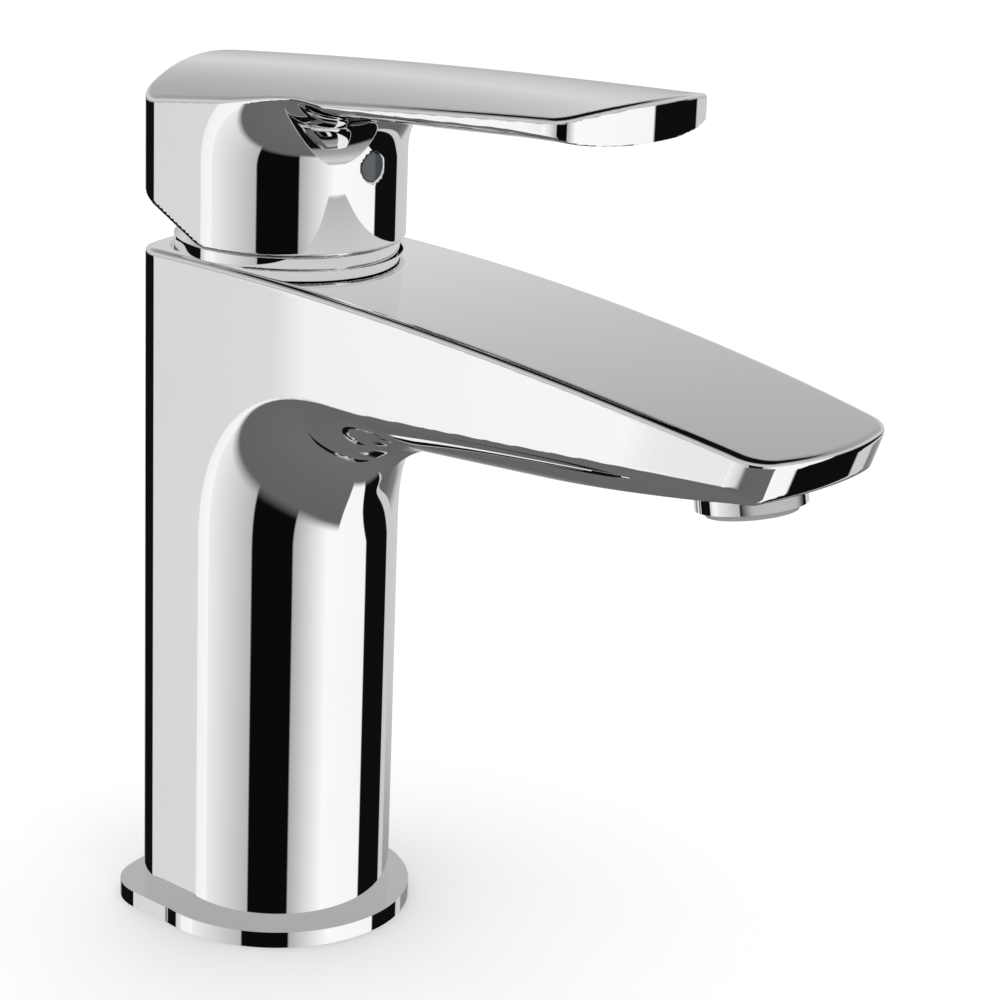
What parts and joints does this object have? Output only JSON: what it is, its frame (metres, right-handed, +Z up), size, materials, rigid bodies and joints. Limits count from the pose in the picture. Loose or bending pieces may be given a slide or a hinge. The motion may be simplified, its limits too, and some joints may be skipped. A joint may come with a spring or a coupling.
{
  "type": "bathroom mixer faucet",
  "caption": "Single-lever basin mixer: upright column, arched spout with an aerator, and a broad lever that swings for heat and lifts for flow.",
  "frame": {"origin": "on the lever's upright axis at the level of the deck the plate stands on", "axes": "+Z up along the lever's axis, -Y towards the spout's tip, -X the hot side"},
  "size_m": [0.055, 0.1636, 0.1815],
  "materials": {
    "chrome_body": "polished",
    "chrome_lever": "polished",
    "rubber": "matte",
    "white_plastic": "matte",
    "grey_plastic": "matte",
    "ceramic": "ground smooth",
    "steel": "turned",
    "brass": "machined",
    "plug": "gloss"
  },
  "bodies": {
    "mixer": {"body": "chrome_body", "base_ring": "chrome_body", "base_seal": "rubber", "cartridge_base": "white_plastic", "port_seal": "rubber", "cartridge_housing": "white_plastic", "housing_seal": "rubber", "fixed_disc": "ceramic", "clamp_nut": "brass", "collar": "chrome_body", "aerator_housing": "chrome_body", "aerator_seal": "rubber", "aerator_insert": "grey_plastic", "aerator_sieve": "steel"},
    "swivel": {"rotor": "grey_plastic", "pivot_pin": "steel"},
    "handle": {"lever": "chrome_lever", "spindle": "brass", "grub_screw": "steel", "index_plug": "plug"},
    "carriage": {"disc_carrier": "grey_plastic", "moving_disc": "ceramic"}
  },
  "joints": [
    {"name": "lever_swing", "type": "hinge", "parent": "mixer", "child": "swivel", "pos_m": [0, 0, 0.128], "axis": [0, 0, 1], "range_deg": [-45, 45]},
    {"name": "lever_lift", "type": "hinge", "parent": "swivel", "child": "handle", "pos_m": [0, 0, 0.128], "axis": [-1, 0, 0], "range_deg": [0, 25]},
    {"name": "disc_slide", "type": "slide", "parent": "swivel", "child": "carriage", "axis": [0, -1, 0], "range_m": [0, 0.0058]}
  ],
  "couplings": [
    {"joint": "disc_slide", "follows": "lever_lift", "m_per_rad": 0.01306}
  ]
}
